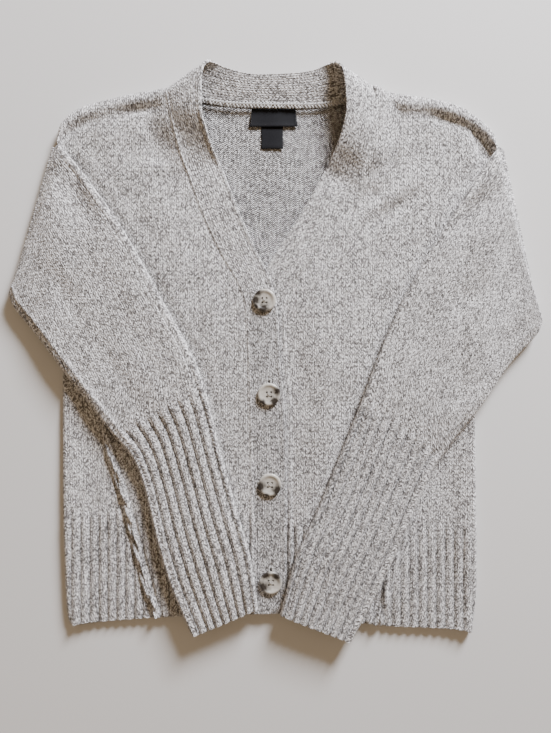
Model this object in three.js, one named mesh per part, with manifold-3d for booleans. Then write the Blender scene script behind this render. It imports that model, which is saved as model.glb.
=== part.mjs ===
// A V-neck button cardigan in heavy heather knit, buttoned and laid flat on its back.
// Both sleeves are turned over at the shoulder and lie across the fronts, so their cuffs
// meet at the hem. Lengths are in millimetres, +Z is up from the table. While the pieces
// are made, x = 0 is the button line and y = 0 the hem; "right" and "left" are the wearer's.
import * as THREE from "three";
import { mergeVertices } from "three/addons/utils/BufferGeometryUtils.js";
import Module from "manifold-3d";

// ---- driving dimensions ----
const KNIT = 2.2; // thickness of the plain knit
const BAND = 3.0; // thickness of the doubled neckband
const SEAM_GAP = 0.5; // between two pieces that are sewn edge to edge
const LAY_GAP = 0.8; // between two layers that lie on each other
const BACK_Z = KNIT / 2; // the back's middle surface, its underside on the table
const FRONT_Z = 4.2; // the fronts' middle surface
const PLACKET_TOP_Z = 7.7; // the buttonhole band over the button band
const PLACKET_UNDER_Z = 4.1; // the button band
const SIDE_FOLD_Z = 6.6; // the rolled side folds stand a little above the fronts
const UNDERARM_Y = 354;
const SHOULDER_TIP_Y = 526;

const named = (columns, rows) =>
  rows.map((row) => Object.fromEntries(columns.map((name, i) => [name, row[i]])));

// Height by height, where the right and the left side of the body are.
const BODY_SIDE = named(
  ["y", "right", "left"],
  [
    [-12, -216, 225],
    [46, -220, 226],
    [134, -223, 229],
    [277, -227, 229],
    [354, -227, 229],
    [440, -228, 240],
    [526, -230, 257],
    [600, -231, 258],
  ],
);
// Seams that join the front half of each side to the back, leaning forwards to the hem.
const SIDE_SEAM = named(
  ["y", "right", "left"],
  [
    [-12, -119, 118],
    [600, -286.2, 290.2],
  ],
);
const HEM = named(
  ["x", "y"],
  [
    [-230, -4],
    [-190, 0],
    [-115, 6],
    [0, 10],
    [60, 5],
    [130, -4],
    [200, -7],
    [230, -11],
  ],
);
const SHOULDER = named(
  ["x", "y"],
  [
    [-232, 528],
    [-227, 549],
    [-217, 560],
    [-203, 568],
    [-180, 575],
    [-110, 587],
    [116, 590],
    [129, 585],
    [189, 575],
    [211, 568],
    [233, 555],
    [250, 540],
    [258, 522],
  ],
);
const BACK_NECK = named(
  ["x", "y"],
  [
    [-110, 583],
    [-78, 574],
    [-30, 568],
    [45, 567],
    [88, 573],
    [116, 585],
  ],
);
// The neckband from the right hem, up round the back neck and down to the left hem: its free
// edge, its sewn edge, and the height of each above the table.
const NECKBAND = named(
  ["freeX", "freeY", "seamX", "seamY", "freeZ", "seamZ"],
  [
    [20, 10, -17, 10, 7.7, 7.7],
    [20, 80, -17, 80, 7.7, 7.7],
    [20, 150, -17, 150, 7.7, 7.7],
    [18, 235, -18, 235, 7.7, 7.7],
    [13, 290, -20, 290, 7.7, 7.7],
    [10, 345, -22, 345, 7.7, 7.7],
    [3, 376, -30, 371, 7.6, 7.4],
    [-13, 409, -48, 403, 6.6, 6.0],
    [-33, 455, -69, 447, 5.6, 5.0],
    [-51, 501, -85, 490, 5.6, 5.0],
    [-66, 538, -99, 532, 7.0, 5.4],
    [-71, 562, -105, 560, 10.5, 6.4],
    [-71, 588, -108, 578, 15.5, 7.6],
    [-68, 612, -110, 585, 18.0, 7.2],
    [-66, 617, -110, 588, 13.5, 4.4],
    [-60, 614, -104, 584, 8.5, 1.8],
    [-45, 609, -66, 573, 6.0, 1.8],
    [-10, 603, -14, 569, 6.4, 1.8],
    [34, 605, 32, 568, 6.4, 1.8],
    [58, 611, 76, 572, 6.0, 1.8],
    [69, 614, 109, 586, 8.5, 1.8],
    [73, 616, 116, 590, 13.5, 4.4],
    [75, 611, 116, 587, 18.0, 7.2],
    [82, 588, 116, 575, 15.5, 7.6],
    [84, 560, 115, 545, 11.0, 6.2],
    [78, 532, 107, 511, 7.0, 5.2],
    [60, 493, 89, 472, 5.4, 5.0],
    [33, 445, 63, 427, 5.0, 5.0],
    [9, 408, 40, 393, 4.6, 4.8],
    [-10, 375, 22, 368, 4.1, 4.4],
    [-17, 345, 16, 345, 4.1, 4.1],
    [-15, 290, 18, 290, 4.1, 4.1],
    [-11, 235, 23, 235, 4.1, 4.1],
    [-10, 150, 24, 150, 4.1, 4.1],
    [-10, 80, 24, 80, 4.1, 4.1],
    [-10, 10, 24, 10, 4.1, 4.1],
  ],
);
const TOP_BAND_ROWS = 12; // rows of the neckband that run up the right front
const UNDER_BAND_ROWS = 13; // and down the left one
const BUTTON_LINE = named(
  ["x", "y"],
  [
    [-4, 354],
    [1, 251],
    [2, 152],
    [3, 45],
  ],
);
// Each sleeve from the fold at the shoulder to the end of the cuff: its over-arm edge and its
// underarm edge.
const SLEEVE = {
  right: named(
    ["overX", "overY", "underX", "underY"],
    [
      [-228, 524, -284, 363],
      [-200, 490, -281, 350],
      [-154, 424, -251, 312],
      [-116, 355, -211, 260],
      [-79, 286, -174, 212],
      [-63, 235, -148, 180],
      [-52, 189, -136, 149],
      [-34, 125, -124, 99],
      [-19, 73, -108, 46],
      [-11, 18, -83, -12],
    ],
  ),
  left: named(
    ["overX", "overY", "underX", "underY"],
    [
      [258, 522, 300, 333],
      [233, 493, 297, 320],
      [189, 427, 265, 284],
      [152, 363, 233, 239],
      [120, 291, 198, 195],
      [100, 238, 179, 165],
      [80, 188, 163, 130],
      [54, 125, 143, 84],
      [29, 70, 120, 37],
      [13, 12, 91, -18],
    ],
  ),
};

// ---- curves through a table ----
// A smooth curve through a table's rows, which doesn't swing past them.
function through(rows, key, value) {
  const at = rows.map((row) => row[key]);
  const v = rows.map((row) => row[value]);
  const slope = v.slice(1).map((next, i) => (next - v[i]) / (at[i + 1] - at[i]));
  const tangent = v.map((_, i) => {
    const before = slope[Math.max(i - 1, 0)];
    const after = slope[Math.min(i, slope.length - 1)];
    return before * after <= 0 ? 0 : (2 * before * after) / (before + after);
  });
  return (x) => {
    const last = at.length - 2;
    const i = Math.max(0, Math.min(last, at.findIndex((k) => k > x) - 1));
    const j = x >= at[last] ? last : i;
    const span = at[j + 1] - at[j];
    const t = THREE.MathUtils.clamp((x - at[j]) / span, 0, 1);
    const [t2, t3] = [t * t, t * t * t];
    return (
      v[j] * (2 * t3 - 3 * t2 + 1) +
      v[j + 1] * (3 * t2 - 2 * t3) +
      span * (tangent[j] * (t3 - 2 * t2 + t) + tangent[j + 1] * (t3 - t2))
    );
  };
}

// The same for every column of a table, along its rows: t runs from 0 to 1.
function along(rows) {
  const last = rows.length - 1;
  const numbered = rows.map((row, i) => ({ ...row, row: i }));
  const columns = Object.keys(rows[0]).map((name) => [name, through(numbered, "row", name)]);
  return (t) => Object.fromEntries(columns.map(([name, f]) => [name, f(t * last)]));
}

const sideOf = {
  right: through(BODY_SIDE, "y", "right"),
  left: through(BODY_SIDE, "y", "left"),
};
const sideSeamOf = {
  right: through(SIDE_SEAM, "y", "right"),
  left: through(SIDE_SEAM, "y", "left"),
};
const hemAt = through(HEM, "x", "y");
const shoulderAt = through(SHOULDER, "x", "y");
const backNeckAt = through(BACK_NECK, "x", "y");
const bandSeamOf = {
  right: through(NECKBAND.slice(0, TOP_BAND_ROWS + 2), "seamY", "seamX"),
  left: through(NECKBAND.slice(-UNDER_BAND_ROWS).reverse(), "seamY", "seamX"),
};
const bandSeamZOf = {
  right: through(NECKBAND.slice(0, TOP_BAND_ROWS + 2), "seamY", "seamZ"),
  left: through(NECKBAND.slice(-UNDER_BAND_ROWS).reverse(), "seamY", "seamZ"),
};
const sign = { right: -1, left: 1 };
const { lerp, smoothstep } = THREE.MathUtils;

// ---- heights of the fronts ----
const SHOULDER_ROLL = { height: 3.8, middle: 12, reach: 30 };
const BAND_RISE_REACH = 34;

// The middle surface of a front: level, with a soft roll along the shoulder, and rising to
// the height of the band that it is sewn to.
function frontHeight(side, x, y) {
  const fromShoulder = shoulderAt(x) - y;
  const { height, middle, reach } = SHOULDER_ROLL;
  const roll = height * (1 - smoothstep(Math.abs(fromShoulder - middle), 0, reach - middle));
  const fromBand = Math.abs(x - bandSeamOf[side](y));
  const rise = bandSeamZOf[side](y) - FRONT_Z;
  return FRONT_Z + Math.max(roll, rise * (1 - smoothstep(fromBand, 0, BAND_RISE_REACH)));
}

// ---- walls ----
// A sheet is a list of points on the cloth's middle surface and of quads between them.
function grid(rows, columns, at, closed = false) {
  const points = [];
  const quads = [];
  for (let i = 0; i < rows; i++) for (let j = 0; j < columns; j++) points.push(at(i, j));
  const across = closed ? columns : columns - 1;
  for (let i = 0; i < rows - 1; i++)
    for (let j = 0; j < across; j++) {
      const k = (j + 1) % columns;
      quads.push([i * columns + j, i * columns + k, (i + 1) * columns + k, (i + 1) * columns + j]);
    }
  return { points, quads };
}

// Joins sheets that share points along an edge.
function joined(...sheets) {
  const points = [];
  const quads = [];
  const seen = new Map();
  for (const sheet of sheets) {
    const place = sheet.points.map((p) => {
      const key = p.toArray().map((n) => n.toFixed(4)).join();
      if (!seen.has(key)) seen.set(key, points.push(p) - 1);
      return seen.get(key);
    });
    quads.push(...sheet.quads.map((quad) => quad.map((i) => place[i])));
  }
  return { points, quads };
}

// A closed wall of the given thickness about a sheet, with a flat rim along every open edge.
function wall({ points, quads }, thickness) {
  const normals = points.map(() => new THREE.Vector3());
  for (const [a, b, c, d] of quads) {
    const across = points[c].clone().sub(points[a]);
    const facing = across.cross(points[d].clone().sub(points[b]));
    for (const i of [a, b, c, d]) normals[i].add(facing);
  }
  const moved = (distance) =>
    points.map((p, i) => p.clone().addScaledVector(normals[i].normalize(), distance));
  const count = points.length;
  const vertices = [...moved(thickness / 2), ...moved(-thickness / 2)];
  const faces = [];
  const edges = new Map();
  const quadFaces = (a, b, c, d) => faces.push([a, b, c], [a, c, d]);
  for (const quad of quads) {
    const [a, b, c, d] = quad;
    quadFaces(a, b, c, d);
    quadFaces(d + count, c + count, b + count, a + count);
    quad.forEach((from, i) => {
      const to = quad[(i + 1) % 4];
      if (!edges.delete(`${to},${from}`)) edges.set(`${from},${to}`, [from, to]);
    });
  }
  for (const [from, to] of edges.values()) quadFaces(to, from, from + count, to + count);
  const geometry = new THREE.BufferGeometry();
  geometry.setFromPoints(vertices);
  geometry.setIndex(faces.flat());
  return geometry;
}

// ---- the fronts ----
const FRONT_COLUMNS = 9;
const FOLD_STEPS = 5;
const FRONT_TOP_INSET = 7; // from the shoulder's edge to where the roll starts
const NECK_CORNER = { gap: 1.5, fromY: 560, toY: 580 }; // more room where the band turns over
const SOLVE_PASSES = 12; // enough for a point to settle on two curves that depend on each other

// Each front lies from its band to the side seam and the armhole, and rolls over the
// shoulder to meet the back's edge underneath.
function front(side) {
  const outer = (y) => {
    const edge = Math.abs(sideOf[side](y)) - SEAM_GAP;
    return sign[side] * Math.min(Math.abs(sideSeamOf[side](y)), edge);
  };
  const inner = (y) => {
    const corner = NECK_CORNER.gap * smoothstep(y, NECK_CORNER.fromY, NECK_CORNER.toY);
    return bandSeamOf[side](y) + sign[side] * (SEAM_GAP + corner);
  };
  const bandRows = {
    right: NECKBAND.slice(0, TOP_BAND_ROWS),
    left: NECKBAND.slice(-TOP_BAND_ROWS).reverse(),
  }[side];
  const shares = bandRows.map(({ seamX, seamY }) => {
    const top = shoulderAt(seamX) - FRONT_TOP_INSET;
    return (seamY - hemAt(seamX)) / (top - hemAt(seamX));
  });
  shares[0] = 0;
  shares.push(1);
  const at = (i, j) => {
    const v = shares[Math.min(i, shares.length - 1)];
    let [x, y] = [0, v * SHOULDER_TIP_Y];
    for (let pass = 0; pass < SOLVE_PASSES; pass++) {
      x = lerp(inner(y), outer(y), j / (FRONT_COLUMNS - 1));
      y = lerp(hemAt(x), shoulderAt(x) - FRONT_TOP_INSET, v);
    }
    const z = frontHeight(side, x, y);
    if (i < shares.length) return new THREE.Vector3(x, y, z);
    const radius = (z - BACK_Z) / 2;
    const turned = ((i - shares.length + 1) / FOLD_STEPS) * Math.PI;
    const out = shoulderAt(x) - KNIT / 2 - y;
    return new THREE.Vector3(x, y + out * Math.sin(turned), z - radius * (1 - Math.cos(turned)));
  };
  const sheet = grid(shares.length + FOLD_STEPS, FRONT_COLUMNS, at);
  if (side === "right") sheet.quads.forEach((quad) => quad.reverse());
  return wall(sheet, KNIT);
}

// ---- the back ----
const BACK_COLUMNS = 17;
const BACK_ROWS = { below: 10, above: 7 };
const WRAP_COLUMNS = 6;

const backTop = (x) =>
  Math.min(shoulderAt(x) - FRONT_TOP_INSET - 1.5, backNeckAt(x) - SEAM_GAP);

// Flat on the table from the hem to the shoulders. Below the underarm it folds round both
// sides and comes forward to the side seams.
function back() {
  const foldRadius = (SIDE_FOLD_Z - BACK_Z) / 2;
  const flatAt = (x, y) => new THREE.Vector3(x, y, BACK_Z);
  const startOf = (side, y) => sideOf[side](y) - sign[side] * (foldRadius + KNIT / 2);
  const rowY = (i) => lerp(-12, UNDERARM_Y - 6, i / (BACK_ROWS.below - 1));
  const hemmed = (x, y, i) => lerp(hemAt(x), y, i / (BACK_ROWS.below - 1));
  const below = grid(BACK_ROWS.below, BACK_COLUMNS, (i, j) => {
    const x = lerp(startOf("right", rowY(i)), startOf("left", rowY(i)), j / (BACK_COLUMNS - 1));
    return flatAt(x, hemmed(x, UNDERARM_Y - 6, i));
  });
  const above = grid(BACK_ROWS.above, BACK_COLUMNS, (i, j) => {
    const v = i / (BACK_ROWS.above - 1);
    const share = j / (BACK_COLUMNS - 1);
    let [x, y] = [0, lerp(UNDERARM_Y - 6, SHOULDER_TIP_Y, v)];
    if (i === 0)
      return flatAt(lerp(startOf("right", y), startOf("left", y), share), UNDERARM_Y - 6);
    for (let pass = 0; pass < SOLVE_PASSES; pass++) {
      x = lerp(sideOf.right(y) + SEAM_GAP, sideOf.left(y) - SEAM_GAP, share);
      y = lerp(UNDERARM_Y - 6, backTop(x), v);
    }
    return flatAt(x, y);
  });
  const wrap = (side) => {
    const sheet = grid(BACK_ROWS.below, FOLD_STEPS + WRAP_COLUMNS, (i, j) => {
      const start = startOf(side, rowY(i));
      const y = hemmed(start, UNDERARM_Y - 6, i);
      if (j < FOLD_STEPS) {
        const turned = (j / (FOLD_STEPS - 1)) * Math.PI;
        const out = foldRadius * Math.sin(turned);
        const up = foldRadius * (1 - Math.cos(turned));
        return new THREE.Vector3(start + sign[side] * out, y, BACK_Z + up);
      }
      const share = (j - FOLD_STEPS + 1) / WRAP_COLUMNS;
      let [x, height] = [start, y];
      for (let pass = 0; pass < SOLVE_PASSES; pass++) {
        x = lerp(start, sideSeamOf[side](height) + sign[side] * SEAM_GAP, share);
        height = hemmed(x, UNDERARM_Y - 6, i);
      }
      const sunk = smoothstep(Math.abs(x - start), 0, 30);
      return new THREE.Vector3(x, height, lerp(SIDE_FOLD_Z, FRONT_Z, sunk));
    });
    if (side === "right") sheet.quads.forEach((quad) => quad.reverse());
    return sheet;
  };
  return wall(joined(below, above, wrap("right"), wrap("left")), KNIT);
}

// ---- the neckband ----
const BAND_COLUMNS = 5;

// One doubled strip, sewn along the whole opening. It folds over at both neck points.
function neckband() {
  const at = along(NECKBAND);
  const rows = NECKBAND.length;
  const sheet = grid(rows, BAND_COLUMNS, (i, j) => {
    const row = at(i / (rows - 1));
    const share = j / (BAND_COLUMNS - 1);
    return new THREE.Vector3(
      lerp(row.seamX, row.freeX, share),
      lerp(row.seamY, row.freeY, share),
      lerp(row.seamZ, row.freeZ, share),
    );
  });
  sheet.quads.forEach((quad) => quad.reverse());
  return wall(sheet, BAND);
}

// ---- the sleeves ----
const SLEEVE_HALF_GAP = 1.6; // from the middle of a flattened sleeve to each of its layers
const SLEEVE_ROWS = 18;
const HALF_RING = 8;
const TURN_STEPS = 5;
const ARMHOLE_Z = 2.75;

// The height that a sleeve lies on: the fronts, the placket, or its own turned-under start.
function supportHeight(side, x, y) {
  const overBody = FRONT_Z + KNIT / 2;
  const placketTop = PLACKET_TOP_Z + BAND / 2 - overBody;
  const placket = placketTop * (1 - smoothstep(Math.abs(x), 16, 60));
  const roll = SHOULDER_ROLL.height * smoothstep(y, SHOULDER_TIP_Y - 50, SHOULDER_TIP_Y - 16);
  const edge = sideOf[side](y) * sign[side];
  const inside = edge - x * sign[side];
  const fold = (SIDE_FOLD_Z - FRONT_Z) * (1 - smoothstep(Math.abs(inside - 2), 4, 34));
  const hanging = 1.6 * smoothstep(-inside, 16, 60);
  return overBody + Math.max(placket, roll, fold) - hanging;
}

// A flattened tube. It leaves the armhole sideways, folds over at the shoulder, and then
// lies on the front down to its cuff.
function sleeve(side) {
  const table = SLEEVE[side];
  const visible = along(table);
  const first = table[0];
  const armhole = { top: SHOULDER_TIP_Y - 6, bottom: UNDERARM_Y + 4 };
  const thick = SLEEVE_HALF_GAP + KNIT / 2;
  const liftOf = (x, y) => supportHeight(side, x, y) + LAY_GAP + thick;
  const foldTop = liftOf((first.overX + first.underX) / 2, (first.overY + first.underY) / 2);
  const turnRadius = (foldTop - ARMHOLE_Z) / 2;
  const outward = new THREE.Vector3(first.underY - first.overY, first.overX - first.underX, 0);
  outward.normalize();
  if (outward.x * sign[side] < 0) outward.negate();
  const rings = [];
  const ring = (over, under, normal) => rings.push({ over, under, normal });
  const up = new THREE.Vector3(0, 0, 1);
  const pulledIn = turnRadius + thick;
  const foldAt = (x, y, z) => new THREE.Vector3(x, y, z).addScaledVector(outward, -pulledIn);
  const mouthX = (y) => sideOf[side](y) + sign[side] * 2 * SEAM_GAP;
  const foldOver = foldAt(first.overX, first.overY, ARMHOLE_Z);
  const foldUnder = foldAt(first.underX, first.underY, ARMHOLE_Z);
  foldOver.x = Math.max(Math.abs(foldOver.x), Math.abs(mouthX(armhole.top)) + 3) * sign[side];
  const mouthOver = new THREE.Vector3(mouthX(armhole.top), armhole.top, ARMHOLE_Z);
  const mouthUnder = new THREE.Vector3(mouthX(armhole.bottom), armhole.bottom, ARMHOLE_Z);
  for (const t of [0, 0.5])
    ring(mouthOver.clone().lerp(foldOver, t), mouthUnder.clone().lerp(foldUnder, t), up.clone());
  for (let k = 0; k <= TURN_STEPS; k++) {
    const turned = (k / TURN_STEPS) * Math.PI;
    const shift = outward.clone().multiplyScalar(turnRadius * Math.sin(turned));
    shift.z = turnRadius * (1 - Math.cos(turned));
    const normal = up.clone().multiplyScalar(Math.cos(turned));
    normal.addScaledVector(outward, -Math.sin(turned));
    ring(foldOver.clone().add(shift), foldUnder.clone().add(shift), normal);
  }
  for (let k = 1; k < SLEEVE_ROWS; k++) {
    const row = visible(k / (SLEEVE_ROWS - 1));
    ring(
      new THREE.Vector3(row.overX, row.overY, NaN),
      new THREE.Vector3(row.underX, row.underY, NaN),
      up.clone().negate(),
    );
  }
  const sheet = grid(
    rings.length,
    2 * HALF_RING,
    (i, j) => {
      const { over, under, normal } = rings[i];
      const upper = j <= HALF_RING;
      const step = upper ? j : 2 * HALF_RING - j;
      const width = Math.hypot(over.x - under.x, over.y - under.y);
      const inset = (KNIT / 2) / width;
      const share = (1 - Math.cos((Math.PI * step) / HALF_RING)) / 2;
      const place = over.clone().lerp(under, lerp(inset, 1 - inset, share));
      if (Number.isNaN(place.z)) place.z = liftOf(place.x, place.y);
      const toEdge = Math.min(share, 1 - share) * width;
      const round = Math.min(toEdge / SLEEVE_HALF_GAP, 1);
      const half = SLEEVE_HALF_GAP * Math.sqrt(1 - (1 - round) ** 2);
      return place.addScaledVector(normal, upper ? half : -half);
    },
    true,
  );
  if (side === "right") sheet.quads.forEach((quad) => quad.reverse());
  return wall(sheet, KNIT);
}

// ---- solids that are cut or joined ----
const wasm = await Module();
wasm.setup();

function solidOf(geometry) {
  const bare = geometry.clone();
  bare.deleteAttribute("normal");
  bare.deleteAttribute("uv");
  const merged = mergeVertices(bare, 1e-4);
  const mesh = new wasm.Mesh({
    numProp: 3,
    vertProperties: new Float32Array(merged.attributes.position.array),
    triVerts: new Uint32Array(merged.index.array),
  });
  return new wasm.Manifold(mesh);
}

function geometryOf(solid) {
  const mesh = solid.getMesh();
  const geometry = new THREE.BufferGeometry();
  geometry.setAttribute("position", new THREE.BufferAttribute(mesh.vertProperties, 3));
  geometry.setIndex(new THREE.BufferAttribute(mesh.triVerts, 1));
  return geometry;
}

// ---- buttons, their thread shanks and the buttonholes ----
const BUTTON = { radius: 12.5, height: 3.8, holeRadius: 1.0, holeSpacing: 4.4 };
const SHANK_RADIUS = 1.8;
const BUTTONHOLE = { length: 26, width: 5.2, above: 4 };
const BUTTON_Z = PLACKET_TOP_Z + BAND / 2 + 0.3;

// A four-hole button, dished inside a raised rim.
function button() {
  const { radius, height, holeRadius, holeSpacing } = BUTTON;
  const profile = [
    [0, 0],
    [radius - 1.6, 0],
    [radius, 1.3],
    [radius, 2.5],
    [radius - 1.1, height],
    [radius - 2.6, height],
    [radius - 4.2, height - 0.9],
    [0, height - 1.1],
  ].map(([r, z]) => new THREE.Vector2(r, z));
  const blank = new THREE.LatheGeometry(profile, 32).rotateX(Math.PI / 2);
  let made = solidOf(blank);
  if (made.volume() < 0) throw new Error("the button's profile runs the wrong way");
  for (const x of [-0.5, 0.5])
    for (const y of [-0.5, 0.5]) {
      const hole = new THREE.CylinderGeometry(holeRadius, holeRadius, 3 * height, 8);
      hole.rotateX(Math.PI / 2).translate(x * holeSpacing, y * holeSpacing, 0);
      made = made.subtract(solidOf(hole));
    }
  return geometryOf(made);
}

function shank() {
  const [low, high] = [PLACKET_UNDER_Z + BAND / 2 + 0.3, BUTTON_Z - 0.3];
  const column = new THREE.CylinderGeometry(SHANK_RADIUS, SHANK_RADIUS, high - low, 12);
  return column.rotateX(Math.PI / 2).translate(0, 0, (low + high) / 2);
}

// An upright slit with round ends, cut through the buttonhole band only.
function buttonhole({ x, y }) {
  const { length, width, above } = BUTTONHOLE;
  const half = (length - width) / 2;
  const outline = new THREE.Shape();
  outline.absarc(0, half, width / 2, 0, Math.PI);
  outline.absarc(0, -half, width / 2, Math.PI, 2 * Math.PI);
  const depth = 2 * BAND;
  const cut = new THREE.ExtrudeGeometry(outline, { depth, bevelEnabled: false, curveSegments: 5 });
  return cut.translate(x, y + above, PLACKET_TOP_Z - depth / 2);
}

function cutNeckband() {
  let made = solidOf(neckband());
  for (const place of BUTTON_LINE) made = made.subtract(solidOf(buttonhole(place)));
  return geometryOf(made);
}

// ---- labels, sewn into the back neck seam ----
const LABEL = {
  neck: { width: 52, length: 20, thickness: 0.6, x: 6, z: KNIT + 1.2 },
  size: { width: 24, length: 44, thickness: 0.5, x: 4, z: KNIT + 0.3 },
};
const LABEL_TOP_Y = 565.5;

function label({ width, length, thickness, x, z }) {
  const blank = new THREE.BoxGeometry(width, length, thickness);
  return blank.translate(x, LABEL_TOP_Y - length / 2, z + thickness / 2);
}

// ---- the whole cardigan ----
const finish = (color, roughness) =>
  new THREE.MeshStandardMaterial({ color, roughness, metalness: 0 });
const cardigan = new THREE.Group();

function add(name, geometry, material) {
  const mesh = new THREE.Mesh(geometry, material);
  mesh.name = name;
  cardigan.add(mesh);
  return mesh;
}

const heatherKnit = finish(0xb0aca9, 0.95);
const hornPlastic = finish(0xc4c0b6, 0.35);
const sewingThread = finish(0xd0cdc6, 0.8);
const blackSatin = finish(0x17171c, 0.5);

add("back", back(), heatherKnit);
add("front_right", front("right"), heatherKnit);
add("front_left", front("left"), heatherKnit);
add("neckband", cutNeckband(), heatherKnit);
add("sleeve_right", sleeve("right"), heatherKnit);
add("sleeve_left", sleeve("left"), heatherKnit);
add("neck_label", label(LABEL.neck), blackSatin);
add("size_label", label(LABEL.size), blackSatin);
BUTTON_LINE.forEach(({ x, y }, i) => {
  add(`button_${i + 1}`, button(), hornPlastic).position.set(x, y, BUTTON_Z);
  add(`shank_${i + 1}`, shank(), sewingThread).position.set(x, y, 0);
});

// The origin is under the middle of the whole cardigan, on the table.
cardigan.updateMatrixWorld(true);
const bounds = new THREE.Box3().setFromObject(cardigan);
const middle = bounds.getCenter(new THREE.Vector3());
for (const mesh of cardigan.children)
  mesh.position.add(new THREE.Vector3(-middle.x, -middle.y, -bounds.min.z));

export default cardigan;
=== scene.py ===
import math

import bpy
import numpy as np
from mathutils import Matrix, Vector


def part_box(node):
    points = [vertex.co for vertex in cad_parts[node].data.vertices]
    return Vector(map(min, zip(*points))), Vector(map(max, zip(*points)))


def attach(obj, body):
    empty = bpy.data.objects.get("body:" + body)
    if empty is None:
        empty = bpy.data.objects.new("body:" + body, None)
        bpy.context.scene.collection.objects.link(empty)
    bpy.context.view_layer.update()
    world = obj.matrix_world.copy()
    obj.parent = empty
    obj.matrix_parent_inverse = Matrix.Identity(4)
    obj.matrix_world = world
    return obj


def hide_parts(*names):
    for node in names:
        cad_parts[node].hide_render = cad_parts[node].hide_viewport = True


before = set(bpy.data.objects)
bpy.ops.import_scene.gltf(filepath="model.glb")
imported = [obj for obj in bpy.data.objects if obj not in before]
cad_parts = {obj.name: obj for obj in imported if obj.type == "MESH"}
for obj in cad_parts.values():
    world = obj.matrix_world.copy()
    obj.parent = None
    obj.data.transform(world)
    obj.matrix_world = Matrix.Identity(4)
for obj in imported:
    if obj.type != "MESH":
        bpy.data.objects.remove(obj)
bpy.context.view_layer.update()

# ---- camera: straight above, with the collar at the top ----
CAMERA_HEIGHT = 0.658
VIEW_LENGTH = 0.806  # of the table, along the garment, at the height of its cloth
CLOTH_HEIGHT = 0.008
CAMERA_Y = -0.0185


def placed(name, data):
    """A new object with this data, in the scene."""
    new = bpy.data.objects.new(name, data)
    bpy.context.scene.collection.objects.link(new)
    return new


camera = placed("camera", bpy.data.cameras.new("camera"))
camera.location = (0, CAMERA_Y, CAMERA_HEIGHT)
camera.data.lens = camera.data.sensor_width * (CAMERA_HEIGHT - CLOTH_HEIGHT) / VIEW_LENGTH
camera.data.clip_start = 0.01
bpy.context.scene.camera = camera

# ---- the back ----
# One knit panel of heather wool-blend yarn, with its 2x2 rib hem knitted in one. It lies on the
# table with its inside up, and below the underarms it folds round both sides of the body and
# comes forward to the side seams.

# Sizes are in millimetres on the pattern, where x = 0 is the button line, y = 0 the hem, and
# right and left are the wearer's.
MM = 0.001
KNIT = 2.2
SEAM_GAP = -0.2  # pieces run this far into each other at a seam
BACK_Z = KNIT / 2
FRONT_Z = 4.2
SIDE_FOLD_Z = 6.6
UNDERARM_Y = 348
SHOULDER_TIP_Y = 526
RIB_PITCH = 9.8
RIB_START = 4  # where a body rib has its middle
RIB_DEPTH = 2.4
HEM_RIB_TOP = {"right": 119, "left": 108}
BACK_RIB_TOP = 112
HEM_LOW = -12.0
SIGN = {"right": -1, "left": 1}

top_button = sum(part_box("button_1"), Vector()) / 2
pattern_zero = Vector((top_button.x, top_button.y, 0)) - Vector((-4, 354, 0)) * MM


def table(columns, *rows):
    """A table's columns by name."""
    return dict(zip(columns.split(), np.array(rows, float).T))


def curve(at, value):
    """A smooth curve through a table's rows that doesn't swing past them."""
    slope = np.diff(value) / np.diff(at)
    before, after = np.append(slope[0], slope), np.append(slope, slope[-1])
    steady = before * after > 0
    tangent = np.where(steady, 2 * before * after / np.where(steady, before + after, 1), 0)

    def height(x):
        x = np.clip(x, at[0], at[-1])
        i = np.clip(np.searchsorted(at, x, side="right") - 1, 0, len(slope) - 1)
        span = at[i + 1] - at[i]
        t = (x - at[i]) / span
        ends = value[i] * (2 * t**3 - 3 * t**2 + 1) + value[i + 1] * (3 * t**2 - 2 * t**3)
        return ends + span * (tangent[i] * (t**3 - 2 * t**2 + t) + tangent[i + 1] * (t**3 - t**2))

    return height


def along(rows):
    """Every column of a table as a smooth curve of the row's number."""
    number = np.arange(len(next(iter(rows.values()))))
    return {name: curve(number, column) for name, column in rows.items()}


def ease(x, low, high):
    """0 below low, 1 above high, and smooth between them."""
    t = np.clip((x - low) / (high - low), 0, 1)
    return t * t * (3 - 2 * t)


def mix(a, b, share):
    return a + (b - a) * share


BODY_SIDE = table(
    "y right left",
    (-12, -216, 225),
    (46, -220, 226),
    (134, -223, 229),
    (277, -227, 229),
    (354, -227, 229),
    (440, -228, 240),
    (526, -230, 252),
    (600, -231, 253),
)
SIDE_SEAM = table("y right left", (-12, -119, 118), (600, -286.2, 290.2))
HEM = table(
    "x y", (-230, -4), (-190, 0), (-115, 6), (0, 10), (60, 5), (130, -4), (200, -7), (230, -11)
)
SHOULDER = table(
    "x y",
    (-232, 528),
    (-227, 549),
    (-217, 560),
    (-203, 568),
    (-180, 575),
    (-110, 587),
    (116, 590),
    (129, 585),
    (189, 575),
    (211, 568),
    (231, 555),
    (246, 540),
    (253, 522),
)
BACK_NECK = table("x y", (-110, 583), (-78, 574), (-30, 568), (45, 567), (88, 573), (116, 585))

side_at = {side: curve(BODY_SIDE["y"], BODY_SIDE[side]) for side in SIGN}
side_seam_at = {side: curve(SIDE_SEAM["y"], SIDE_SEAM[side]) for side in SIGN}
hem_at = curve(HEM["x"], HEM["y"])
shoulder_at = curve(SHOULDER["x"], SHOULDER["y"])
back_neck_at = curve(BACK_NECK["x"], BACK_NECK["y"])


def ribs(across, pitch=RIB_PITCH):
    """Height of a 2x2 rib: full round ribs with narrow furrows between them."""
    return (0.5 + 0.5 * np.cos(2 * np.pi * across / pitch)) ** 0.3


def bell(x, width):
    """1 at 0, and nearly 0 beyond twice the width to both sides."""
    return np.exp(-((x / width) ** 2))


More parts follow.
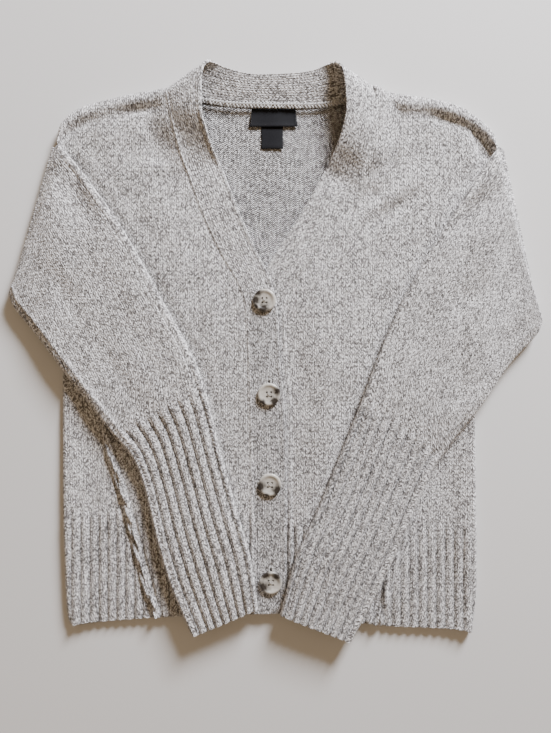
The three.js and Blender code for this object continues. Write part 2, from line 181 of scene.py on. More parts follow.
def wales(x):
    """Where a place across the body is on the fabric map, with the wales in step with the ribs."""
    return x - RIB_START + RIB_PITCH / 4


def furrows(rib):
    """Painted shade at the bottom of a furrow, from the height of the rib."""
    return (1 - rib) ** 1.4


def uneven(x, y, size=1.0):
    """The small irregular rise and fall of hand-laid knitwear."""
    x, y = x / size, y / size
    wave = np.sin(x / 23 + 1.3 * np.sin(y / 41)) * np.cos(y / 31 + 0.8 * np.sin(x / 37))
    return wave + 0.5 * np.sin(x / 11 - y / 17 + 2) * np.cos(y / 13 + x / 29)


def hem_relief(side, x, y):
    """The rib hem, which starts unevenly from wale to wale, and the seam's rolled lip."""
    top = HEM_RIB_TOP[side] + 3 * np.sin(x / 7.0) + 2 * np.sin(x / 17.0)
    seam = side_seam_at[side](y)
    lip_length = ease(y, -30, 0) * (1 - ease(y, 330, 380))
    bend = 1.4 * np.sin(y / 15 + 1.3 * np.sin(y / 31))
    twist = 0.95 + 0.22 * np.sin(y / 4.5 + (x - seam) / 1.7 + 1.5 * np.sin(y / 19))
    lip = 5.0 * np.exp(-(((x - seam - bend) / 4.8) ** 4)) * twist * lip_length
    lip = lip - 1.5 * bell(x - seam + 1.2 * bend, 0.9) * lip_length
    rib = mix(ribs(x - RIB_START), 0.62, ease(y, top - 8, top + 4)) * (1 - ease(y, top, top + 90))
    return RIB_DEPTH * rib * ease(np.abs(x - seam), 6, 9) + lip


def clustered(start, end, step):
    """Places from start to end about a step apart, with three close together at each end."""
    inner = np.linspace(start, end, max(int(abs(end - start) / step), 4))
    rim = np.sign(end - start) * min(0.5, abs(end - start) / 40)
    return np.concatenate([[start, start + rim], inner[1:-1], [end - rim, end]])


def knit_wall(name, sheets, thickness=KNIT, inner_side=1):
    """A closed wall of knit about the middle surface of its sheets, each a dict of arrays: points,
    fabric (across and along the wales, in mm) and relief, the rise of the outer face. Sheets that
    share points are joined. Cells of a sheet that are open are left out. Where its sewn is 1 the
    rim keeps its full thickness.
    Attributes: inside is inner_side on the inner face (1 for purl), hollow is the share of painted
    shade, 1 in the bottom of a furrow."""
    points, fabric, relief, hollow, sewn, quads = [], [], [], [], [], []
    for sheet in sheets:
        rows, columns = sheet["points"].shape[:2]
        start = sum(len(p) for p in points)
        index = start + np.arange(rows * columns).reshape(rows, columns)
        cells = np.stack([index[:-1, :-1], index[:-1, 1:], index[1:, 1:], index[1:, :-1]], -1)
        quads.append(cells[~sheet.get("open", np.zeros((rows - 1, columns - 1), bool))])
        points.append(sheet["points"].reshape(-1, 3))
        fabric.append(sheet["fabric"].reshape(-1, 2))
        for values, kind in ((relief, "relief"), (hollow, "hollow"), (sewn, "sewn")):
            values.append(np.broadcast_to(sheet.get(kind, 0), (rows, columns)).reshape(-1))
    points, fabric = np.concatenate(points), np.concatenate(fabric)
    corners = np.concatenate([q.reshape(-1, 4) for q in quads])
    _, first, place = np.unique(
        np.round(points, 3), axis=0, return_index=True, return_inverse=True
    )
    place = place.reshape(-1)
    middle = points[first]
    rise = np.concatenate(relief)[first]
    furrow = np.concatenate(hollow)[first]
    faces = place[corners]
    a, b, c, d = (middle[faces[:, i]] for i in range(4))
    facing = np.cross(c - a, d - b)
    normals = np.zeros_like(middle)
    for i in range(4):
        np.add.at(normals, faces[:, i], facing)
    normals /= np.maximum(np.linalg.norm(normals, axis=1, keepdims=True), 1e-9)
    count = len(middle)
    edges = np.concatenate([faces[:, [i, (i + 1) % 4]] for i in range(4)])
    edge_fabric = np.concatenate([corners[:, [i, (i + 1) % 4]] for i in range(4)])
    keys = edges[:, 0].astype(np.int64) * count + edges[:, 1]
    back_keys = edges[:, 1].astype(np.int64) * count + edges[:, 0]
    rim = ~np.isin(keys, back_keys)
    half = np.full(count, thickness / 2)
    on_rim = np.unique(edges[rim])
    half[on_rim] *= mix(0.35, 1.0, np.concatenate(sewn)[first][on_rim])
    outer = middle + normals * (half + rise)[:, None]
    inner = middle - normals * half[:, None]
    r = edges[rim]
    rims = np.stack([r[:, 1], r[:, 0], r[:, 0] + count, r[:, 1] + count], -1)
    all_faces = np.concatenate([faces, faces[:, ::-1] + count, rims])
    vertices = np.concatenate([outer, inner]) * MM + np.array(pattern_zero)
    vertices[:, 2] = np.maximum(vertices[:, 2], 0)  # nothing sinks into the table
    mesh = bpy.data.meshes.new(name)
    mesh.vertices.add(len(vertices))
    mesh.vertices.foreach_set("co", vertices.astype(np.float32).reshape(-1))
    mesh.loops.add(all_faces.size)
    mesh.loops.foreach_set("vertex_index", all_faces.astype(np.int32).reshape(-1))
    mesh.polygons.add(len(all_faces))
    mesh.polygons.foreach_set("loop_start", np.arange(0, all_faces.size, 4, dtype=np.int32))
    mesh.update(calc_edges=True)
    rim_fabric = edge_fabric[rim][:, [1, 0, 0, 1]]
    uv_of = np.concatenate([corners, corners[:, ::-1], rim_fabric])
    layer = mesh.uv_layers.new(name="fabric")
    layer.data.foreach_set("uv", (fabric[uv_of.reshape(-1)] * MM).astype(np.float32).reshape(-1))
    inside, sunk = np.repeat([0, inner_side], count), np.append(furrow, np.zeros(count))
    for kind, values in (("inside", inside), ("hollow", sunk)):
        attribute = mesh.attributes.new(kind, "FLOAT", "POINT")
        attribute.data.foreach_set("value", values.astype(np.float32))
    mesh.shade_smooth()
    mesh.set_sharp_from_angle(angle=math.radians(55))
    mesh.validate()
    return placed(name, mesh)


def knit_piece(name, sheets, flat, area, held, rests_on, **wall):
    """A panel of the cardigan that stands for the CAD node of the same name."""
    piece = knit_wall(name + "_knit", sheets, **wall)
    piece.data.materials.append(heather_knit)
    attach(piece, "root")
    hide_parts(name)
    return piece


def fill(node, *inputs):
    """Sets inputs of a node, each by a link from a socket or by a value."""
    for socket, value in inputs:
        if isinstance(value, bpy.types.NodeSocket):
            node.id_data.links.new(value, node.inputs[socket])
        else:
            node.inputs[socket].default_value = value


def node_maker(tree):
    """The functions that add to a tree: any node, a sum, a value brought from one range to
    another, noise, and a blend of two colours."""

    def make(kind, *inputs, **settings):
        node = tree.nodes.new(kind)
        for name, value in settings.items():
            setattr(node, name, value)
        fill(node, *inputs)
        return node

    def calc(operation, *values):
        return make("ShaderNodeMath", *enumerate(values), operation=operation).outputs[0]

    def remap(value, low, high, to_low=0.0, to_high=1.0):
        inputs = enumerate((value, low, high, to_low, to_high))
        return make("ShaderNodeMapRange", *inputs).outputs[0]

    def noise(place, scale, detail=2.0):
        inputs = ("Vector", place), ("Scale", scale), ("Detail", detail)
        return make("ShaderNodeTexNoise", *inputs).outputs["Fac"]

    def blend(share, low, high):
        inputs = (0, share), (6, low), (7, high)
        return make("ShaderNodeMix", *inputs, data_type="RGBA").outputs[2]

    return make, calc, remap, noise, blend


def new_material(name):
    """A material, its shader, and the functions that add nodes to it."""
    new = bpy.data.materials.new(name)
    new.use_nodes = True
    return new, new.node_tree.nodes["Principled BSDF"], *node_maker(new.node_tree)


def group_sockets(tree, inputs, outputs):
    """Declares a group's sockets, by name and kind, with the inputs' default values."""
    for name, kind, default in inputs:
        socket = tree.interface.new_socket(name, in_out="INPUT", socket_type="NodeSocket" + kind)
        if default is not None:
            socket.default_value = default
    for name, kind in outputs:
        tree.interface.new_socket(name, in_out="OUTPUT", socket_type="NodeSocket" + kind)


# Knit stitches as a group: from the fabric map to the height of the yarn, plain side or purl.
stitches = bpy.data.node_groups.new("stitches", "ShaderNodeTree")
group_sockets(
    stitches,
    [
        ("Fabric", "Vector", None),
        ("Wale", "Float", 0.0049),
        ("Course", "Float", 0.0042),
        ("Purl", "Float", 0.0),
    ],
    [("Height", "Float"), ("Leg", "Vector")],
)
make, calc, remap, noise, _ = node_maker(stitches)
given = make("NodeGroupInput").outputs
parts = make("ShaderNodeSeparateXYZ", (0, given["Fabric"])).outputs
wobble = calc("MULTIPLY", calc("SUBTRACT", noise(given["Fabric"], 260.0), 0.5), 0.3)
across = calc("ADD", calc("DIVIDE", parts[0], given["Wale"]), wobble)
along_wale = calc("ADD", calc("DIVIDE", parts[1], given["Course"]), wobble)
leg = calc("ABSOLUTE", calc("SUBTRACT", calc("FRACT", across), 0.5))
vee = calc("ADD", along_wale, calc("MULTIPLY", leg, -1.5))
leg_wave = calc("COSINE", calc("MULTIPLY", vee, 2 * math.pi))
leg_ridge = calc("ADD", calc("MULTIPLY", leg_wave, 0.3), 0.7)
wale_edge = remap(leg, 0.34, 0.5, 1.0, 0.0)
wale_middle = remap(leg, 0.0, 0.13, 0.4, 1.0)
plain = calc("MULTIPLY", calc("MULTIPLY", leg_ridge, wale_edge), wale_middle)
arch = calc("MULTIPLY", calc("COSINE", calc("MULTIPLY", across, 2 * math.pi)), 0.22)
bump_row = calc("COSINE", calc("MULTIPLY", calc("ADD", along_wale, arch), 4 * math.pi))
purl = calc("ADD", calc("MULTIPLY", bump_row, 0.5), 0.5)
raised = make("ShaderNodeMix", (0, given["Purl"]), (2, plain), (3, purl), data_type="FLOAT")
strand = calc("FLOOR", calc("MULTIPLY", across, 4.0))
bit = calc("FLOOR", calc("MULTIPLY", vee, 3.6))
numbered = make("ShaderNodeCombineXYZ", (0, strand), (1, bit))
make("NodeGroupOutput", ("Height", raised.outputs[0]), ("Leg", numbered.outputs[0]))

# Heather yarn as a group: light and dark fibres spun together, as flecks along the yarn.
heather = bpy.data.node_groups.new("heather", "ShaderNodeTree")
group_sockets(
    heather,
    [
        ("Fabric", "Vector", None),
        ("Leg", "Vector", None),
        ("Fleck", "Float", 0.001),
        ("Dark", "Color", (0.13, 0.122, 0.117, 1)),
        ("Middle", "Color", (0.45, 0.428, 0.415, 1)),
        ("Light", "Color", (1.0, 0.99, 0.985, 1)),
    ],
    [("Color", "Color")],
)
make, calc, remap, noise, blend = node_maker(heather)
given = make("NodeGroupInput").outputs
scale = calc("DIVIDE", 1.0, given["Fleck"])
stretched = make(
    "ShaderNodeVectorMath", (0, given["Fabric"]), (1, (1.0, 0.95, 1.0)), operation="MULTIPLY"
).outputs[0]
each_leg = make("ShaderNodeTexWhiteNoise", ("Vector", given["Leg"]), noise_dimensions="2D")
flecks = (
    (noise(stretched, scale, 3.0), 1.5),
    (noise(given["Fabric"], calc("MULTIPLY", scale, 0.27)), 0.25),
    (noise(given["Fabric"], 38.0), 0.15),
    (each_leg.outputs["Value"], 0.6),
)
amount = 0.0
for fleck, weight in flecks:
    amount = calc("ADD", amount, calc("MULTIPLY", fleck, weight))
doubled = calc("MULTIPLY", remap(amount, 1.12, 1.42), 2.0)
darker = blend(doubled, given["Dark"], given["Middle"])
tone = blend(calc("SUBTRACT", doubled, 1.0), darker, given["Light"])
make("NodeGroupOutput", ("Color", tone))

heather_knit, shader, make, calc, remap, noise, _ = new_material("heather_knit")
fabric_map = make("ShaderNodeUVMap", uv_map="fabric").outputs[0]
inside = make("ShaderNodeAttribute", attribute_name="inside").outputs["Fac"]
hollow = make("ShaderNodeAttribute", attribute_name="hollow").outputs["Fac"]
knit = make("ShaderNodeGroup", ("Fabric", fabric_map), ("Purl", inside), node_tree=stitches).outputs
yarn = make("ShaderNodeGroup", ("Fabric", fabric_map), ("Leg", knit["Leg"]), node_tree=heather)
stitch = knit["Height"]
# Painted shade in the gaps between stitches and painted light on the raised yarn, both stronger on
# the purl side.
gap_low = remap(inside, 0.0, 1.0, 0.72, 0.12)
gap_high = remap(inside, 0.0, 1.0, 1.02, 1.4)
gap_start = remap(inside, 0.0, 1.0, 0.0, 0.25)
gap_shade = remap(stitch, gap_start, 0.75, gap_low, gap_high)
# painted shade from the hollow attribute darkens the colour by up to 55%
shade = calc("MULTIPLY", gap_shade, calc("SUBTRACT", 1.0, calc("MULTIPLY", hollow, 0.55)))
color = make("ShaderNodeVectorMath", (0, yarn.outputs[0]), (1, shade), operation="MULTIPLY")
raised = calc("MULTIPLY", stitch, calc("ADD", 1.0, calc("MULTIPLY", inside, 1.4)))
height = calc("ADD", raised, calc("MULTIPLY", noise(fabric_map, 2600.0), 0.5))
bump = make("ShaderNodeBump", ("Height", height), ("Strength", 0.8), ("Distance", 0.0006))
fill(
    shader,
    ("Base Color", color.outputs[0]),
    ("Normal", bump.outputs[0]),
    ("Roughness", 0.95),
    ("Specular IOR Level", 0.15),
    ("Sheen Weight", 0.25),
    ("Sheen Roughness", 0.6),
)

PANEL_STEP = 1.2  # between columns of points, fine enough to round a rib
FLAT_COLUMNS = 91  # of points, where the cloth lies flat on the table
ROW_STEP = 3.4
FOLD_STEPS = 12
SETTLING = 12  # rounds in which x and y on a curved outline find each other
fold_radius = (SIDE_FOLD_Z - BACK_Z) / 2


def back_sheets():
    """The back from the left side seam, round the fold, across the table and up to the right
    side seam, and above the underarms the flat panel alone."""
    y = clustered(HEM_LOW, UNDERARM_Y, ROW_STEP)[:, None]

    def hemmed(x):
        return mix(hem_at(x), y, (y - HEM_LOW) / (UNDERARM_Y - HEM_LOW))

    def wrap(side):
        sign = SIGN[side]
        start = side_at[side](y) - sign * (fold_radius + KNIT / 2)
        share = np.linspace(0, 1, 80)[None, :]
        x = mix(side_seam_at[side](y) + sign * SEAM_GAP, start, share)
        for _ in range(SETTLING):
            x = mix(side_seam_at[side](hemmed(x)) + sign * SEAM_GAP, start, share)
        level = hemmed(x)
        sunk = ease(np.abs(x - start), 0, 30)
        z = mix(SIDE_FOLD_Z, FRONT_Z, sunk) + 0.5 * uneven(x, level) * sunk
        fold_share = np.linspace(0, 1, FOLD_STEPS)[None, :]
        turned = (1 - fold_share) * math.pi
        fold_x = start + sign * fold_radius * np.sin(turned)
        fold_z = BACK_Z + fold_radius * (1 - np.cos(turned)) + 0 * fold_x
        fold_y = hemmed(start) + 0 * fold_x
        relief = hem_relief(side, x, level)
        fold_relief = hem_relief(side, fold_x, fold_y) * (1 - fold_share)
        xyz = np.stack([x, level, z], -1)[:, :-1]
        fold = np.stack([fold_x, fold_y, fold_z], -1)
        return np.concatenate([xyz, fold], 1), np.concatenate([relief[:, :-1], fold_relief], 1)

    left, left_relief = wrap("left")
    right, right_relief = wrap("right")
    share = np.linspace(0, 1, FLAT_COLUMNS)[None, :]
    flat_x = mix(left[:, -1:, 0], right[:, -1:, 0], share)
    flat_y = hemmed(flat_x)
    flat = np.stack([flat_x, flat_y, np.full_like(flat_x, BACK_Z)], -1)
    points = np.concatenate([left[:, :-1], flat, right[:, ::-1][:, 1:]], 1)
    relief = np.concatenate(
        [left_relief[:, :-1], np.zeros_like(flat_x), right_relief[:, ::-1][:, 1:]], 1
    )
    step = np.linalg.norm(np.diff(points[:, :, [0, 2]], axis=1), axis=2)
    across = np.concatenate([np.zeros((len(points), 1)), np.cumsum(step, 1)], 1)
    across -= across[:, [across.shape[1] // 2]]
    in_rib = (points[..., 1] < BACK_RIB_TOP) * (relief > 0)
    below = {
        "points": points,
        "fabric": np.stack([wales(across), points[..., 1]], -1),
        "relief": relief,
        # painted shade in the furrows of the rib hem
        "hollow": furrows(ribs(points[..., 0] - RIB_START)) * in_rib,
        "sewn": points[..., 1] > hem_at(points[..., 0]) + 1,
    }
    v = np.linspace(0, 1, 70)[:, None]
    y = mix(UNDERARM_Y, SHOULDER_TIP_Y, v) * np.ones_like(share)
    for _ in range(SETTLING):
        x = mix(side_at["left"](y) - SEAM_GAP, side_at["right"](y) + SEAM_GAP, share)
        x = mix(flat[-1, :, 0], x, ease(v, 0, 0.08))
        top = np.minimum(shoulder_at(x) - 8.5, back_neck_at(x) - SEAM_GAP)
        y = mix(UNDERARM_Y, top, v)
    above = {
        "points": np.stack([x, y, np.full_like(x, BACK_Z)], -1),
        "fabric": np.stack([wales(-x), y], -1),
        "relief": 0.0,
        "sewn": 1,
    }
    above["points"][0] = flat[-1]
    return [below, above]


knit_piece("back", back_sheets(), (0.66, 0.6), 0.31, "folded", ["the table"])

# ---- the fronts ----
# Two knit panels with the rib hem knitted in one. Each is sewn to the neckband, to the back at
# the side seam and to the sleeve at the armhole, and rolls over the shoulder on to the back.
NECKBAND = table(
    "free_x free_y seam_x seam_y free_z seam_z",
    (20, 10, -17, 10, 7.7, 7.7),
    (20, 80, -17, 80, 7.7, 7.7),
    (20, 150, -17, 150, 7.7, 7.7),
    (18, 235, -18, 235, 7.7, 7.7),
    (13, 290, -20, 290, 7.7, 7.7),
    (10, 345, -22, 345, 7.7, 7.7),
    (3, 376, -30, 371, 7.6, 7.4),
    (-13, 409, -48, 403, 6.6, 6.0),
    (-33, 455, -69, 447, 6.4, 6.0),
    (-51, 501, -85, 490, 5.4, 5.6),
    (-60, 520, -93, 511, 10.5, 8.5),
    (-66, 538, -99, 532, 16.5, 12.0),
    (-71, 560, -105, 560, 23.5, 15.5),
    (-71, 586, -108, 578, 25.5, 15.5),
    (-69.5, 601, -110, 584, 25.0, 12.0),
    (-66.5, 609, -110, 587, 22.5, 7.0),
    (-62, 613, -109, 588, 18.0, 4.0),
    (-55, 611.5, -104, 585, 14.5, 2.2),
    (-45, 608, -66, 573, 11.5, 1.8),
    (-10, 602, -14, 569, 9.5, 1.8),
    (34, 604, 32, 568, 9.5, 1.8),
    (56, 608, 76, 572, 11.5, 1.8),
    (64, 611, 109, 586, 14.5, 2.2),
    (70, 611.5, 115, 590, 18.0, 4.0),
    (75, 608, 116, 588, 21.5, 7.0),
    (79, 600, 116, 583, 25.0, 12.0),
    (82, 586, 116, 575, 25.5, 15.5),
    (84, 560, 115, 545, 23.0, 16.0),
    (78, 532, 107, 511, 17.0, 13.5),
    (70, 512, 99, 491, 10.5, 8.5),
    (60, 493, 89, 472, 5.2, 5.4),
    (33, 445, 63, 427, 5.6, 5.8),
    (9, 408, 40, 393, 4.8, 5.4),
    (-10, 375, 22, 368, 4.1, 4.4),
    (-17, 345, 16, 345, 4.1, 4.1),
    (-15, 290, 18, 290, 4.1, 4.1),
    (-11, 235, 23, 235, 4.1, 4.1),
    (-10, 150, 24, 150, 4.1, 4.1),
    (-10, 80, 24, 80, 4.1, 4.1),
    (-10, 10, 24, 10, 4.1, 4.1),
)
band_side = {"right": slice(0, 15), "left": slice(None, -15, -1)}
band_seam_at, band_seam_z_at = (
    {side: curve(NECKBAND["seam_y"][rows], NECKBAND[name][rows]) for side, rows in band_side.items()}
    for name in ("seam_x", "seam_z")
)
SHOULDER_INSET = 7
UNDER_BAND = 1.4  # how far a front runs under the neckband
FRONT_WIDTH, FRONT_LENGTH = 210.0, 590.0  # about, for the spacing of its points

# Where the sleeves lie over the fronts: over-arm and underarm edges from shoulder to cuff.
SLEEVE = {
    "right": table(
        "over_x over_y under_x under_y",
        (-228, 524, -284, 363),
        (-200, 490, -281, 350),
        (-154, 424, -251, 312),
        (-116, 355, -211, 260),
        (-79, 286, -174, 212),
        (-63, 235, -148, 180),
        (-52, 189, -136, 149),
        (-34, 125, -124, 99),
        (-19, 73, -108, 46),
        (-11, 18, -83, -12),
    ),
    "left": table(
        "over_x over_y under_x under_y",
        (252, 522, 300, 333),
        (231, 493, 297, 320),
        (189, 427, 265, 284),
        (152, 363, 233, 239),
        (120, 291, 198, 195),
        (100, 238, 179, 165),
        (80, 188, 163, 130),
        (54, 125, 143, 84),
        (29, 70, 120, 37),
        (13, 12, 91, -18),
    ),
}

# Soft troughs (depth below 0) and ridges on the fronts: middle, angle from +x in degrees,
# half length, half width and depth.
FRONT_CREASES = table(
    "x y angle length width depth",
    (-150, 565, 3, 56, 6, -2.4),
    (-208, 548, 46, 26, 6, -3.2),
    (-170, 538, 12, 46, 14, 1.6),
    (-112, 528, 60, 26, 12, -1.6),
    (-118, 500, 10, 26, 7, 1.3),
    (180, 562, -18, 46, 8, -2.4),
    (234, 530, -60, 26, 9, -4.6),
    (226, 492, 58, 40, 6, -3.0),
    (112, 468, 42, 30, 8, -3.0),
    (134, 452, 38, 34, 7, -2.8),
    (122, 500, 55, 26, 10, -1.8),
    (128, 520, 50, 30, 14, 1.4),
    (150, 478, 46, 40, 10, 1.6),
    (172, 430, 40, 50, 14, 1.2),
    (-165, 505, -58, 40, 13, 0.9),
    (-140, 440, -62, 40, 12, -1.0),
    (-98, 400, -66, 36, 12, 0.8),
    (-60, 340, -80, 50, 10, 0.8),
    (70, 300, 78, 60, 10, 0.8),
    (110, 250, 70, 60, 14, -1.0),
    (60, 180, 80, 50, 12, 0.9),
    (-60, 220, -75, 40, 12, -0.8),
)


def creases(rows, x, y):
    """The sum of a table's troughs and ridges at a place."""
    total = 0
    for i in range(len(rows["x"])):
        angle = math.radians(rows["angle"][i])
        dx, dy = x - rows["x"][i], y - rows["y"][i]
        a = (dx * math.cos(angle) + dy * math.sin(angle)) / rows["length"][i]
        b = (dy * math.cos(angle) - dx * math.sin(angle)) / rows["width"][i]
        b = b + 0.35 * np.sin(2.1 * a)
        total = total + rows["depth"][i] * np.exp(-(a**2) - b**2)
    return total


def front_height(side, x, y):
    """The middle surface of a front: level, rolled along the shoulder, raised to its band."""
    from_shoulder = shoulder_at(x) - y
    roll = 6.0 * (1 - ease(np.abs(from_shoulder - 9), 0, 13))
    from_band = np.abs(x - band_seam_at[side](y))
    rise = (band_seam_z_at[side](y) - FRONT_Z) * (1 - ease(from_band, 0, 34))
    soft = ease(from_shoulder, 2, 14) * ease(from_band, 2, 14)
    over = SLEEVE[side]
    from_sleeve = SIGN[side] * (curve(over["over_y"][::-1], over["over_x"][::-1])(y) - x)
    shown = np.maximum(ease(from_sleeve, -2, 16), ease(y, 500, 524))
    full = (1.1 + 2.2 * shown) * ease(from_shoulder, 2, 14) * ease(from_band, -4, 44)
    puff = full + (0.5 * uneven(x, y) + creases(FRONT_CREASES, x, y) * shown) * soft
    return FRONT_Z + np.maximum(roll, rise) + np.maximum(puff, -1.2 * ease(rise, 0, 2))


def front_sheets(side):
    """A front from its band seam to its side edge, and over the shoulder on to the back."""
    sign = SIGN[side]

    def outer(y):
        edge = np.abs(side_at[side](y)) - SEAM_GAP
        return sign * np.minimum(np.abs(side_seam_at[side](y)), edge)

    def inner(y):
        return band_seam_at[side](y) - sign * (UNDER_BAND - ease(y, 560, 580))

    share = clustered(0.0, FRONT_WIDTH, PANEL_STEP)[None, :] / FRONT_WIDTH
    v = clustered(0.0, FRONT_LENGTH, ROW_STEP)[:, None] / FRONT_LENGTH
    y = v * SHOULDER_TIP_Y * np.ones_like(share)
    for _ in range(16):
        x = mix(inner(y), outer(y), share)
        y = mix(hem_at(x), shoulder_at(x) - SHOULDER_INSET, v)
    z = front_height(side, x, y)
    relief = hem_relief(side, x, y)
    from_seam = np.abs(x - inner(y))
    relief = relief + 0.9 * bell(from_seam - 2.3, 1.3)
    relief = relief - 0.3 * bell(from_seam - 6.0, 1.8)
    fold_share = np.linspace(0, 1, FOLD_STEPS)[1:, None]
    radius = (z[-1:] - BACK_Z) / 2
    turned = fold_share * math.pi
    out = shoulder_at(x[-1:]) - KNIT / 2 - y[-1:]
    fold_x = x[-1:] * np.ones_like(fold_share)
    fold_y, fold_z = y[-1:] + out * np.sin(turned), z[-1:] - radius * (1 - np.cos(turned))
    fold_length = y[-1:] + fold_share * radius * math.pi
    fold = np.stack([fold_x, fold_y, fold_z], -1)
    points = np.concatenate([np.stack([x, y, z], -1), fold])
    fabric = np.stack([wales(points[..., 0]), np.concatenate([y, fold_length])], -1)
    relief = np.concatenate([relief, relief[-1:] * (1 - fold_share)])
    # painted shade in the furrows of the rib hem
    hollow = furrows(ribs(points[..., 0] - RIB_START)) * (points[..., 1] < HEM_RIB_TOP[side])
    sheet = {"points": points, "fabric": fabric, "relief": relief, "hollow": hollow}
    sheet["sewn"] = points[..., 1] > hem_at(points[..., 0]) + 1
    if side == "right":
        sheet = {name: values[:, ::-1] for name, values in sheet.items()}
    return [sheet]


for side in SIGN:
    sheets = front_sheets(side)
    knit_piece("front_" + side, sheets, (0.215, 0.6), 0.098, "laid", ["back_knit"])

# ---- the neckband ----
# A doubled strip of the same knit, folded lengthwise and sewn along the whole opening. Its wales
# run along it. It turns over at both neck points, so that the back neck shows its inner face.
BAND = 3.0
BAND_WIDTH = 36.0
BACK_NECK_ROW = 20.5  # of the table, halfway round the back neck
BUTTONHOLE_TOP = {1: 11, 2: 16.5, 3: 11, 4: 16.5}  # above the middle of each button


def neckband_sheets():
    """The strip from the right front's hem round the neck to the left front's."""
    at = along(NECKBAND)
    t = np.linspace(0, len(NECKBAND["free_x"]) - 1, 640)
    row = {name: column(t)[:, None] for name, column in at.items()}
    share = clustered(0.0, BAND_WIDTH, 1.3)[None, :] / BAND_WIDTH
    crown = 0.5 * np.sin(np.pi * share) ** 0.8
    x = mix(row["seam_x"], row["free_x"], share)
    y = mix(row["seam_y"], row["free_y"], share)
    z = mix(row["seam_z"], row["free_z"], share) + crown
    middle = np.stack([x[:, 14], y[:, 14]], -1)
    run = np.append(0, np.cumsum(np.linalg.norm(np.diff(middle, axis=0), axis=1)))[:, None]
    across = BAND_WIDTH * share
    fabric = np.stack([across * np.ones_like(x), run * np.ones_like(x)], -1)
    # a ridge along the free edge, and a swell above a dent where the band turns up at the neck
    edge = 0.9 * bell(across - 34.0, 1.6) * (1 + 0.15 * np.sin(run / 1.1))
    edge = edge - 0.1 * bell(across - 30.0, 2.0)
    up = y + np.where(x > 0, 25, 0)
    swell = 2.3 * bell(up - 566, 20) - 2.3 * bell(up - 520, 20)
    edge = edge + swell * np.sin(np.pi * share) ** 0.5
    edge = edge * (1 - ease(8.5 - np.abs(t - BACK_NECK_ROW), 0, 2.5))[:, None]
    points = np.stack([x, y, z], -1)
    sheet = {"points": points, "fabric": fabric, "relief": edge * np.ones_like(x)}
    sheet["sewn"] = (share < 0.5) * np.ones_like(x)
    # painted shade: the placket's stretch below the neck opening is painted darker
    sheet["hollow"] = 0.36 * (1 - ease(y, 310, 390))
    middles = (sheet["points"][:-1, :-1] + sheet["points"][1:, 1:]) / 2
    slit = np.zeros(middles.shape[:2], bool)
    for number, top in BUTTONHOLE_TOP.items():
        low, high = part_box(f"button_{number}")
        spot = ((low + high) / 2 - pattern_zero) / MM
        up = middles[..., 1] - spot.y
        slit |= (np.abs(middles[..., 0] - spot.x) < 1.5) & (up > -9) & (up < top)
    sheet["open"] = slit & (np.arange(len(middles)) < 200)[:, None]
    return [sheet]


under_band = ["front_right_knit", "front_left_knit", "back_knit"]
wall = {"thickness": BAND, "inner_side": 0}
knit_piece("neckband", neckband_sheets(), (0.037, 1.5), None, "laid", under_band, **wall)

# ---- the sleeves ----
# Each is a knit tube with a deep rib cuff knitted in one, flattened, with its seam along the
# lower edge. It leaves the armhole sideways, turns over at the shoulder and lies on the front.
SLEEVE_HALF_GAP = 1.6
LAY_GAP = 0.8
ARMHOLE_Z = 2.75
CUFF_RIBS = {"right": 8.5, "left": 9.5}
CUFF_RIB_DEPTH = {"right": 2.8, "left": 3.8}
CUFF_START = {"right": (4.45, 4.15), "left": (4.8, 4.35)}  # row at the over-arm edge, underarm
SLEEVE_ROW_STEP = 5.2
UNDERARM_LOW_Y = 358
LAYER_SHIFT = 400  # on the fabric map, so that the two layers don't match
SLEEVE_CREASES = {
    "right": table(
        "x y angle length width depth",
        (-190, 484, -54, 34, 9, 6.0),
        (-212, 466, -46, 32, 14, -3.4),
        (-224, 364, -50, 24, 13, -2.8),
        (-250, 330, -48, 40, 12, 1.6),
        (-192, 238, -50, 56, 13, 2.6),
        (-160, 268, -50, 46, 12, -1.8),
        (-230, 420, -70, 50, 12, 0.9),
        (-150, 330, -58, 60, 12, -0.9),
        (-120, 250, -60, 30, 12, 0.9),
        (-148, 190, -52, 22, 10, 1.8),
    ),
    "left": table(
        "x y angle length width depth",
        (218, 470, 54, 40, 9, 5.0),
        (240, 462, 56, 40, 12, -3.4),
        (258, 440, 66, 40, 12, 1.2),
        (219, 360, 60, 26, 13, -2.6),
        (158, 362, 62, 50, 8, 1.6),
        (262, 330, 52, 40, 14, 1.8),
        (182, 290, 58, 50, 14, 0.9),
        (190, 185, 50, 20, 9, -3.0),
        (206, 236, 46, 34, 12, 1.6),
        (150, 250, 60, 30, 12, -1.0),
    ),
}


def support_height(side, x, y):
    """The top of what a sleeve lies on: its front, the placket, the side fold or the table."""
    over_body = FRONT_Z + KNIT / 2
    placket = 3.9 * (1 - ease(np.abs(x), 16, 60))
    roll = 4.2 * ease(y, SHOULDER_TIP_Y - 50, SHOULDER_TIP_Y - 16)
    inside_edge = side_at[side](y) * SIGN[side] - x * SIGN[side]
    fold = 3.0 * (1 - ease(np.abs(inside_edge - 2), 4, 34))
    puff = 1.9 * ease(inside_edge, 0, 20)
    rib = RIB_DEPTH * (1 - ease(y, 50, 170)) * ease(inside_edge, 0, 20)
    hanging = 1.6 * ease(-inside_edge, 16, 60)
    return over_body + np.maximum.reduce([placket, roll, fold, puff + rib]) - hanging


